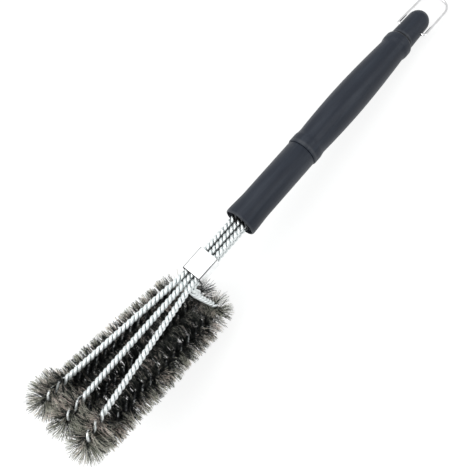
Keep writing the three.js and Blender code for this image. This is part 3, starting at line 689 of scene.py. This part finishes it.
def locks_of(stem, last, chance):
    """For each lock its place, fan, lean, side, reach and tint, and the way it is bowed."""
    locks = LOCKS_A_STEM
    # The last filaments have no neighbours behind them, so round the rear bend they splay out.
    splayed = (chance.random(locks) < 0.11) & (stem.side != 1)
    s = np.sort(chance.uniform(np.where(splayed, stem.bend + 2, stem.start), last))
    at_front, at_rear = s < stem.lower + 8, s > stem.bend + 2
    fan = np.clip(chance.normal(0, np.where(at_front, 0.33, 0.55)), -1.35, 1.35)
    even = (chance.random(locks) < np.where(at_front, 0.04, 0.22)) | at_rear
    fan = np.where(even, chance.uniform(-1.57, 1.57, locks), fan)
    wild = chance.random(locks) < 0.08
    spread = np.where(wild | at_rear, 0.36, np.where(at_front, 0.10, 0.14))
    lean = chance.normal(0, 1, locks) * spread
    side = chance.choice((-1.0, 1.0), locks)
    reach = 1.0 - 0.34 * chance.beta(0.8, 2.0, locks)
    tint = chance.beta(0.8, 1.0, locks)
    # A bunch is 2.2 mm of the stem by 0.12 radians of the fan. At the two ends half of the
    # locks take the tint of their bunch, and elsewhere a fifth, so a bunch reads as a streak.
    bunches = chance.beta(0.8, 1.0, (2, 90, 28))
    row = ((s - stem.start) / 2.2).astype(int)
    column = ((fan + 1.6) / 0.12).astype(int)
    at_ends = at_front | (s > stem.bend - LOOSE_END)
    bunched = chance.random(locks) < np.where(at_ends, 0.5, 0.2)
    tint = np.where(bunched, bunches[(side > 0).astype(int), row, column], tint)
    return s, fan, lean, side, reach, tint, chance.normal(0, 0.4, (locks, 3))


def grow(stem, seed):
    """The filaments of a stem as lines of points, with their tints and shares of BRISTLE_R."""
    chance = np.random.default_rng(seed)
    # On the right stem the filling stops just past the place that the brush stands on.
    last = stem.stand + 0.5 if stem.side == 1 else stem.end
    # A lock shares its direction, its bow and most of its length and tint.
    s, fan, lean, side, reach, tint, bend = (
        np.repeat(values, LOCK, axis=0) for values in locks_of(stem, last, chance))
    count = len(s)
    shift = chance.normal(0, 0.4, count)
    s = np.clip(s + shift, stem.start, last)
    point, tangent, out = stem.axes(s)
    along = np.cross(tangent, out) * side[:, None]
    fan = (fan + chance.normal(0, 0.012, count))[:, None]
    # A lock comes to a point, so its filaments lean towards its middle.
    lean = (lean - 0.8 * shift / BRISTLE_R + chance.normal(0, 0.010, count))[:, None]
    direction = unit(along * np.cos(fan) + out * np.sin(fan) + tangent * lean)
    sway = unit(np.cross(direction, unit(chance.normal(size=(count, 3)))))
    bow = bend + chance.normal(0, 0.07, (count, 3))
    bow -= direction * np.sum(bow * direction, 1, keepdims=True)
    root = point + out * chance.uniform(-0.4, 0.4, count)[:, None]
    length = BRISTLE_R * reach * (1.0 - abs(chance.normal(0, 0.035, count)))
    length *= room(root, root + direction * length[:, None] + bow)
    first = stopped(lay_out(root, along, direction, sway, bow, length))
    cut = (first - chance.uniform(0.6, 0.95, count)) / (POINTS - 1)
    share = np.where(first == POINTS, 1.0, cut)
    lines = lay_out(root, along, direction, sway, bow * share[:, None] ** 2, length * share)
    # Some filaments work loose at both ends, and most of them round the rear bend.
    before_end = s < stem.bend - LOOSE_END
    inner = (s > stem.lower + 5) & before_end
    thinned = np.where(before_end, 0.54, np.where(s < stem.bend - 3, 0.42, 0.28))
    kept = (share > 0.1) & (inner | (chance.random(count) < thinned))
    tint = np.clip(tint + chance.normal(0, 0.12, count), 0, 1)
    return lines[kept], tint[kept], (share * length / BRISTLE_R)[kept]


# %% Fill the three stems
PIECES_A_STEM = 2
for number, stem in enumerate(stems):
    lines, tints, shares = grow(stem, 71 + number)
    mean_length = round(BRISTLE_R * float(shares.mean()), 1)
    print(stem.name, "filaments", len(lines), "of", mean_length, "mm on average")
    for part, rows in enumerate(np.array_split(np.arange(len(lines)), PIECES_A_STEM)):
        mesh = drawn(lines[rows], FILAMENT_R, 3, end=0.85)
        store(mesh, "reach", on_rings(shares[rows, None] * np.linspace(0, 1, POINTS), 3))
        store(mesh, "outside", on_rings(outside(lines[rows]), 3))
        store(mesh, "tint", on_rings(np.repeat(tints[rows, None], POINTS, 1), 3))
        weld(mesh)
        name = f"{stem.name}_filaments_{('front', 'rear')[part]}"
        add_piece(name, mesh, bristle_paint, [f"{stem.name}_bristles"])

# %% [markdown]
# ## Clamp
# A strip of steel about 0.8 mm thick is folded round the six pairs and pressed flat, so the
# outline is a rectangle with soft corners. Its ends meet underneath, which doesn't show, so
# here the ring is closed. A rectangle whose corners are bevelled gives the section, an inset
# gives the wall, and an extrusion gives the length. The rims get a small bevel, because
# tumbling takes the sharpness off.

# %% rounded_rectangle and pull
CLAMP_W, CLAMP_H, CLAMP_WALL, CLAMP_CORNER = 17.66, 12.51, 0.8, 1.6
RIM, RIM_ANGLE = 0.16, 1.2      # width of the rims' bevel, and the angle that makes a rim
ACROSS = Matrix.Rotation(math.pi / 2, 3, "Y")   # stands a flat shape up across the brush


def rounded_rectangle(shape, width, height, corner, segments):
    """A flat face in the YZ plane with rounded corners."""
    made = bmesh.ops.create_grid(shape, x_segments=1, y_segments=1, size=0.5)["verts"]
    bmesh.ops.scale(shape, vec=(height, width, 1), verts=made)
    bmesh.ops.rotate(shape, cent=(0, 0, 0), matrix=ACROSS, verts=made)
    bmesh.ops.bevel(shape, geom=made, affect="VERTICES", offset=corner, segments=segments,
                    profile=0.5, material=-1)


def pull(shape, faces, length):
    """Extrudes flat faces along +X into a closed solid."""
    # The copy closes the near end, which the extrusion leaves open.
    bmesh.ops.duplicate(shape, geom=faces)
    lifted = bmesh.ops.extrude_face_region(shape, geom=faces)["geom"]
    verts = [v for v in lifted if isinstance(v, bmesh.types.BMVert)]
    bmesh.ops.translate(shape, vec=(length, 0, 0), verts=verts)
    bmesh.ops.remove_doubles(shape, verts=list(shape.verts), dist=SAME_POINT)
    bmesh.ops.recalc_face_normals(shape, faces=list(shape.faces))


# %% Press the clamp
shape = bmesh.new()
rounded_rectangle(shape, CLAMP_W, CLAMP_H, CLAMP_CORNER, 8)
inside = list(shape.faces)
bmesh.ops.inset_region(shape, faces=inside, thickness=CLAMP_WALL, use_boundary=True,
                       use_even_offset=True)
bmesh.ops.delete(shape, geom=inside, context="FACES_ONLY")
pull(shape, list(shape.faces), CLAMP_LENGTH)
rims = [e for e in shape.edges if len(e.link_faces) == 2 and e.calc_face_angle() > RIM_ANGLE]
bmesh.ops.bevel(shape, geom=rims, affect="EDGES", offset=RIM, segments=2, profile=0.5,
                material=-1)
bmesh.ops.translate(shape, vec=(X_CLAMP, 0, Z_AXIS), verts=list(shape.verts))
clamp_mesh = as_mesh(shape, "clamp")
# A mask along the bent corners, where a thin line of shade is painted.
corner_y, corner_z = CLAMP_W / 2 - CLAMP_CORNER, CLAMP_H / 2 - CLAMP_CORNER
bends = [math.atan2(abs(v.co.z - Z_AXIS) - corner_z, abs(v.co.y) - corner_y)
         for v in clamp_mesh.vertices]
store(clamp_mesh, "bend", np.clip(1 - abs(np.array(bends) - math.pi / 4) / 0.45, 0, 1))
print("clamp pressed, faces", len(clamp_mesh.polygons))

# %% [markdown]
# ## Polished steel
# The clamp is bright rolled steel, polished but not a mirror: fine scratches run along it
# from handling, and the light spreads a little. Base colour barely changes, save for painted
# shade; roughness and a very low bump carry the finish. Where the strip was bent round the
# bundle, a thin, duller line is painted dark along each corner as shade, and the front rim is
# painted dark as shade.

# %% Clamp finish
steel_paint = Paint("polished_steel", metallic=1.0)
UNTILTED = (0, -REST_TILT, 0)   # turns a pattern so that its x runs along the brush
lengthwise = steel_paint.place((60, 2600, 2600), UNTILTED)
scratches = steel_paint.noise(lengthwise, 1.0, 4.0, 0.7)
clouds = steel_paint.noise(steel_paint.place(), 160, 2.0)
along_steel = steel_paint.node("ShaderNodeSeparateXYZ", {}, {
    "Vector": steel_paint.place((1, 1, 1), UNTILTED)})


def along_brush(x):
    """Where a place on the handle's axis lies in an untilted pattern, in metres."""
    return (Matrix.Rotation(-REST_TILT, 3, "Y") @ (TO_TABLE @ Vector((x, 0, Z_AXIS)))).x


# Painted shade: the front rim, and a thin line along each bent corner, are dark.
front_rim_painted_shade = (along_steel - along_brush(X_CLAMP)).rise(0.0009, 0.0005)
painted_shade_lines = 1 - (1 - front_rim_painted_shade) * (1 - steel_paint.stored("bend").rise(0.0, 0.6) * 0.8)
bright = steel_paint.mixed(clouds.rise(0.35, 0.7), (0.93, 0.94, 0.95), (0.87, 0.885, 0.89))
steel_paint.set(
    base_color=steel_paint.mixed(painted_shade_lines, bright, (0.06, 0.06, 0.06)),
    roughness=0.13 + scratches * 0.12 + clouds * 0.05 + painted_shade_lines * 0.2,
    normal=steel_paint.bump(scratches, 0.12, 0.00002))
add_piece("clamp", clamp_mesh, steel_paint, ["clamp_sleeve"])

# %% [markdown]
# ## Handle plastic
# The three handle parts are moulded in the same dark slate plastic, matte from a fine
# spark-eroded mould. Close up it has a grain of a third of a millimetre and faint streaks
# along the handle from being held. Rings at the mouth's rim and by the collars are painted
# paler, partly wear and partly painted highlight, and the corner behind the rear collar is
# painted near black as shade. The pattern is turned with the handle, so that "along" means along
# the handle.

# %% Plastic finish
plastic_paint = Paint("slate_plastic", metallic=0.0, specular_ior_level=0.30)
along_handle = plastic_paint.place((1, 1, 1), UNTILTED)
grain = plastic_paint.noise(along_handle, 2400, 2.0, 0.5)
streaks = plastic_paint.noise(plastic_paint.place((14, 150, 150), UNTILTED), 1.0, 4.0, 0.6)
handled = plastic_paint.noise(along_handle, 34, 3.0).rise(0.35, 0.7)
x_along = plastic_paint.node("ShaderNodeSeparateXYZ", {}, {"Vector": along_handle})
print("plastic pattern ready")


def handle_ring(at_mm, width_mm):
    """A mask that is 1 on a ring of the handle and fades out to both sides."""
    return abs(x_along - along_brush(at_mm)).rise(0.001 * width_mm, 0.0)


# Paler rings at the mouth's rim and by the collars: partly wear, partly a painted highlight.
rims = handle_ring(X_MOUTH + 0.6, 1.6) + handle_ring(X_SEAM + 2.0, 2.2) + handle_ring(X_TAIL + 2.6, 1.4)
wear_and_painted_highlight = rims * streaks
# Painted shade: the corner behind the rear collar is near black.
corner_painted_shade = handle_ring(X_TAIL + 0.2, 1.5).rise(0.0, 0.6)
streaked = plastic_paint.mixed(streaks.rise(0.35, 0.75), (0.011, 0.0155, 0.026),
                               (0.024, 0.031, 0.045))
pale_wear_and_highlight = plastic_paint.mixed(wear_and_painted_highlight * 0.75, streaked, (0.085, 0.090, 0.098))
plastic_paint.set(
    base_color=plastic_paint.mixed(corner_painted_shade, pale_wear_and_highlight, (0.004, 0.004, 0.005)),
    roughness=0.42 + grain * 0.14 - handled * 0.06,
    normal=plastic_paint.bump(grain, 0.35, 0.00006))
print("plastic finish uses", len(plastic_paint.tree.nodes), "nodes")

# %% [markdown]
# ## Plug in the handle
# The wires end in a round plug with a slot the shape of the bundle, pushed into the sleeve.
# It hardly shows, deep in the mouth, but it is what holds the brush together. A circle and
# a rounded rectangle with as many corners are bridged into a flat ring, which is extruded.

# %% Plug
PLUG_R, PLUG_LENGTH = 10.8, 20.0
SLOT_W, SLOT_H, SLOT_CORNER = 16.06, 10.91, 2.8

shape = bmesh.new()
rounded_rectangle(shape, SLOT_W, SLOT_H, SLOT_CORNER, 15)
steps = len(shape.edges)
bmesh.ops.delete(shape, geom=list(shape.faces), context="FACES_ONLY")
disc = bmesh.ops.create_circle(shape, cap_ends=False, segments=steps, radius=PLUG_R)["verts"]
bmesh.ops.rotate(shape, cent=(0, 0, 0), matrix=ACROSS, verts=disc)
bmesh.ops.bridge_loops(shape, edges=list(shape.edges))
pull(shape, list(shape.faces), PLUG_LENGTH)
bmesh.ops.translate(shape, vec=(X_PLUG, 0, Z_AXIS), verts=list(shape.verts))
add_piece("wire_plug", as_mesh(shape, "wire_plug"), plastic_paint,
          ["wire_anchor_plug"])

# %% [markdown]
# ## Handle parts
# Sleeve, grip and tail cap are all turned shapes. Each profile is a closed outline of the
# wall: out along the skin and back along the bore, so that the part has its real thickness
# and the mouth is open. The sleeve swells towards its mouth, the grip has a waist, a belly
# and two collars, and the cap ends in a dome. The seams are left open by a hair, with
# rounded edges on both sides, which is what makes them show as dark lines.

# %% Front sleeve
SLEEVE_R, MOUTH_SWELL, LIP_R = 13.05, 0.85, 12.5        # skin, its gain at the mouth, lip
SLEEVE_BORE, SPIGOT_R, SPIGOT_BORE = 11.15, 9.05, 6.85  # a spigot fills the next part's bore
SLEEVE_LENGTH, SPIGOT_END = 77.5, 99.5


def swell(count, low, high, rule):
    """Points of a curved stretch of skin: rule gives the radius for a share of the way."""
    return [(low + (high - low) * t, rule(t), 0) for t in np.linspace(0, 1, count)]


mouth = swell(17, 1.0, 22.0,
              lambda t: SLEEVE_R + MOUTH_SWELL * 0.5 * (1 + math.cos(math.pi * t)))
sleeve = [(0, LIP_R, 0.15), (0, 13.62, 0.9), *mouth[1:], (76.9, SLEEVE_R, 0),
          (77.35, 12.75, 0.2), (SLEEVE_LENGTH, 12.0, 0), (SLEEVE_LENGTH, SPIGOT_R, 0),
          (98.5, SPIGOT_R, 0.6), (SPIGOT_END, 8.4, 0), (SPIGOT_END, SPIGOT_BORE, 0.4),
          (69.5, SPIGOT_BORE, 0), (65.2, SLEEVE_BORE, 0), (2.5, SLEEVE_BORE, 0.3),
          (2.5, LIP_R, 0.2)]
shape = turned(sleeve)
bmesh.ops.translate(shape, vec=(X_MOUTH, 0, Z_AXIS), verts=list(shape.verts))
add_piece("handle_sleeve", as_mesh(shape, "handle_sleeve"), plastic_paint,
          ["handle_front_sleeve"])

# %% Grip
SEAM_GAP = 0.15                 # left open between two parts
GRIP_BORE, COLLAR_R, REAR_COLLAR_R = 9.35, 13.85, 12.6
X_BELLY, BELLY_R = 59.0, 14.3
GRIP_LENGTH = 134.35

rise = swell(14, 14.5, X_BELLY, lambda t: BELLY_R - 1.25 * (1 - t) ** 2)
fall = swell(20, X_BELLY, 123.8, lambda t: BELLY_R - 2.65 * t ** 1.7)
grip = [(SEAM_GAP, GRIP_BORE, 0), (SEAM_GAP, 13.2, 0.35), (0.95, COLLAR_R, 0.5),
        (8.6, COLLAR_R, 1.2), (11.2, 13.2, 1.2), *rise, *fall[1:], (126.0, 12.3, 0.8),
        (127.3, REAR_COLLAR_R, 0.8), (133.0, REAR_COLLAR_R, 0.9), (GRIP_LENGTH, 11.6, 0.4),
        (GRIP_LENGTH, GRIP_BORE, 0)]
shape = turned(grip)
bmesh.ops.translate(shape, vec=(X_SEAM, 0, Z_AXIS), verts=list(shape.verts))
add_piece("handle_middle_grip", as_mesh(shape, "handle_middle_grip"), plastic_paint,
          ["handle_grip"])

# %% [markdown]
# The tail cap carries the bail, so it has a blind hole on each side. A Boolean modifier
# cuts them with two short rods, and its result is taken as the mesh. Where the cut passes
# close by a corner of the skin, the two are joined, so that no sliver of a face is left.

# %% Tail cap
TAIL_R, TAIL_LENGTH, TAIL_SPIGOT = 10.85, 36.0, -14.0
X_DOME, DOME_R = 26.1, 9.9
HOLE_R, HOLE_BOTTOM = 1.65, 4.92        # a hole's radius, and its bottom's distance off the axis
DRILL_LENGTH = 12
CUT_MARGIN = 0.004              # corners nearer than this to the cut are joined to it

dome = [(X_DOME + DOME_R * math.sin(a), DOME_R * math.cos(a), 0)
        for a in np.linspace(0, math.pi / 2, 14)]
tail = [(8.0, 0, 0), (5.0, SPIGOT_BORE, 0), (TAIL_SPIGOT, SPIGOT_BORE, 0.3),
        (TAIL_SPIGOT, SPIGOT_R, 0.5), (SEAM_GAP, SPIGOT_R, 0), (SEAM_GAP, TAIL_R, 0.3),
        *dome[:-1], (TAIL_LENGTH, 0, 0)]
shape = turned(tail)
bmesh.ops.translate(shape, vec=(X_TAIL, 0, Z_AXIS), verts=list(shape.verts))
cap_mesh = as_mesh(shape, "tail_cap")
print("cap turned, faces", len(cap_mesh.polygons))

# %% Drill the cap
drills = bmesh.new()
for side in (1, -1):
    rod = bmesh.ops.create_cone(drills, cap_ends=True, segments=32, radius1=HOLE_R,
                                radius2=HOLE_R, depth=DRILL_LENGTH)["verts"]
    bmesh.ops.rotate(drills, cent=(0, 0, 0), matrix=Matrix.Rotation(math.pi / 2, 3, "X"), verts=rod)
    off_axis = side * (HOLE_BOTTOM + DRILL_LENGTH / 2)
    bmesh.ops.translate(drills, vec=(X_PIVOT, off_axis, Z_AXIS), verts=rod)
drill_mesh = bpy.data.meshes.new("drills")
drills.to_mesh(drill_mesh)
drills.free()

blank = bpy.data.objects.new("blank", cap_mesh)
tool = bpy.data.objects.new("drill", drill_mesh)
for thing in (blank, tool):
    bpy.context.scene.collection.objects.link(thing)
cut = blank.modifiers.new("holes", "BOOLEAN")
cut.operation, cut.solver, cut.object = "DIFFERENCE", "EXACT", tool
graph = bpy.context.evaluated_depsgraph_get()
drilled = bpy.data.meshes.new_from_object(blank.evaluated_get(graph))
bpy.data.objects.remove(blank)
bpy.data.objects.remove(tool)
shape = bmesh.new()
shape.from_mesh(drilled)
bmesh.ops.remove_doubles(shape, verts=list(shape.verts), dist=CUT_MARGIN)
print("corners where the cut met the skin, joined", len(drilled.vertices) - len(shape.verts))
add_piece("handle_end_cap", as_mesh(shape, "end_cap"), plastic_paint,
          ["handle_tail_cap"])

# %% [markdown]
# ## Hanging bail
# A loop of plated wire, sprung into the two holes of the cap, so that it swings freely.
# Its line is one more route: in from a hole, out along a leg, round the arc and back. Drawn
# with sixteen sides it reads as round. It droops from the cap until it lies on the table.

# %% Bail finish and form
chrome_paint = Paint("bright_plating", metallic=1.0)
haze = chrome_paint.noise(chrome_paint.place(), 240, 3.0)
chrome_paint.set(
    base_color=chrome_paint.mixed(haze.rise(0.3, 0.75), (0.90, 0.90, 0.91), (0.80, 0.79, 0.79)),
    roughness=0.07 + haze * 0.08)

BAIL_R, BAIL_LENGTH = 1.3, 44   # the wire's radius, and from the holes to the arc's middle
LEG_Y, LEG_TAPER = 13.355, 0.9  # a leg's place at the holes, and how much nearer its arc is
FOOT_GAP, FOOT_BEND_R = 0.4, 1.8
DROOP = math.radians(4.016319734607469)

arc_y, foot_y = LEG_Y - LEG_TAPER, HOLE_BOTTOM + FOOT_GAP
arc_r = arc_y - 0.4             # two quarter arcs with a short straight between them
half = [(0, foot_y), (0, LEG_Y), (BAIL_LENGTH, arc_y)]
corners = [Vector((x, y, 0)) for x, y in half + [(x, -y) for x, y in half[::-1]]]
loop = Route(corners, [FOOT_BEND_R, arc_r, arc_r, FOOT_BEND_R], 0.4)
mesh = drawn([loop.points], BAIL_R, 16)
mesh.transform(Matrix.Translation((X_PIVOT, 0, Z_AXIS)) @ Matrix.Rotation(DROOP, 4, "Y"))
weld(mesh)
add_piece("bail", mesh, chrome_paint, ["hanging_bail"], body="bail")

# %% [markdown]
# ## Stage and light
# The photograph is a bright cut-out on white, with only a faint soft shadow. The floor is a
# matte white sheet, which the camera sees three quarters as plain white, so that a shadow
# stays but is faint, and which reflections see nine tenths so. A large soft lamp stands to
# the left of the picture, a weaker one to the right and a wide one overhead. The rest is an
# even white surround, half as bright again to reflections, so that the steel has white to
# mirror. All of it is at a level where a mid grey renders as a mid grey.

# %% Floor
FLOOR_SIZE, FLOOR_GAP = 3.0, 0.0003     # metres: half its side, and how far it lies below

shape = bmesh.new()
bmesh.ops.create_grid(shape, x_segments=1, y_segments=1, size=FLOOR_SIZE)
bmesh.ops.translate(shape, vec=(0, 0, -FLOOR_GAP), verts=list(shape.verts))
floor_mesh = as_mesh(shape, "floor")
floor = bpy.data.objects.new("floor", floor_mesh)
bpy.context.scene.collection.objects.link(floor)

floor_paint = Paint("white_floor", base_color=(0.90, 0.925, 0.915), roughness=0.8)
seen = floor_paint.node("ShaderNodeLightPath", output="Is Camera Ray")
mirrored = floor_paint.node("ShaderNodeLightPath", output="Is Glossy Ray")
white = floor_paint.node("ShaderNodeEmission", {}, {"Color": (1.0, 1.0, 1.0), "Strength": 1.12})
both = floor_paint.node("ShaderNodeMixShader", {}, {0: seen * 0.75 + mirrored * 0.9, 2: white})
floor_paint.tree.links.new(floor_paint.surface.outputs[0], both.socket.node.inputs[1])
ending = next(n for n in floor_paint.tree.nodes if n.type == "OUTPUT_MATERIAL")
floor_paint.tree.links.new(both.socket, ending.inputs["Surface"])
floor_mesh.materials.append(floor_paint.material)
print("floor laid", FLOOR_GAP * 1000, "mm below the brush")

# %% White surround
world = bpy.data.worlds.new("surround")
world.use_nodes = True
bpy.context.scene.world = world
nodes, links = world.node_tree.nodes, world.node_tree.links
nodes.clear()
sky = nodes.new("ShaderNodeBackground")
sky.inputs["Color"].default_value = (0.97, 0.99, 1.0, 1)
sky.inputs["Strength"].default_value = 0.5
plain = nodes.new("ShaderNodeBackground")
plain.inputs["Color"].default_value = (1, 1, 1, 1)
plain.inputs["Strength"].default_value = 1.0
choice = nodes.new("ShaderNodeMixShader")
ray = nodes.new("ShaderNodeLightPath")
last = nodes.new("ShaderNodeOutputWorld")
share = nodes.new("ShaderNodeMath")
share.operation = "MULTIPLY_ADD"
links.new(ray.outputs["Is Glossy Ray"], share.inputs[0])
share.inputs[1].default_value = 0.5
links.new(ray.outputs["Is Camera Ray"], share.inputs[2])
links.new(share.outputs[0], choice.inputs[0])
links.new(sky.outputs[0], choice.inputs[1])
links.new(plain.outputs[0], choice.inputs[2])
links.new(choice.outputs[0], last.inputs["Surface"])
print("surround of", len(nodes), "nodes")

# %% Lamps
AIM = Vector((0, 0, 0.02))      # metres: just over the middle of the brush's footprint


def soft_lamp(name, where, size, watts):
    """A round lamp, size metres across, aimed at the brush."""
    lamp = bpy.data.lights.new(name, "AREA")
    lamp.shape, lamp.size, lamp.energy = "DISK", size, watts
    made = bpy.data.objects.new(name, lamp)
    made.location = where
    made.rotation_euler = (AIM - Vector(where)).to_track_quat("-Z", "Y").to_euler()
    bpy.context.scene.collection.objects.link(made)


soft_lamp("key_lamp", (-0.75, 0.35, 0.95), 0.8, 6.0)
soft_lamp("fill_lamp", (0.7, -0.7, 0.8), 0.7, 2.6)
soft_lamp("top_card", (0.22, 0.38, 1.0), 0.95, 3.4)
bpy.context.scene.view_settings.view_transform = "Standard"
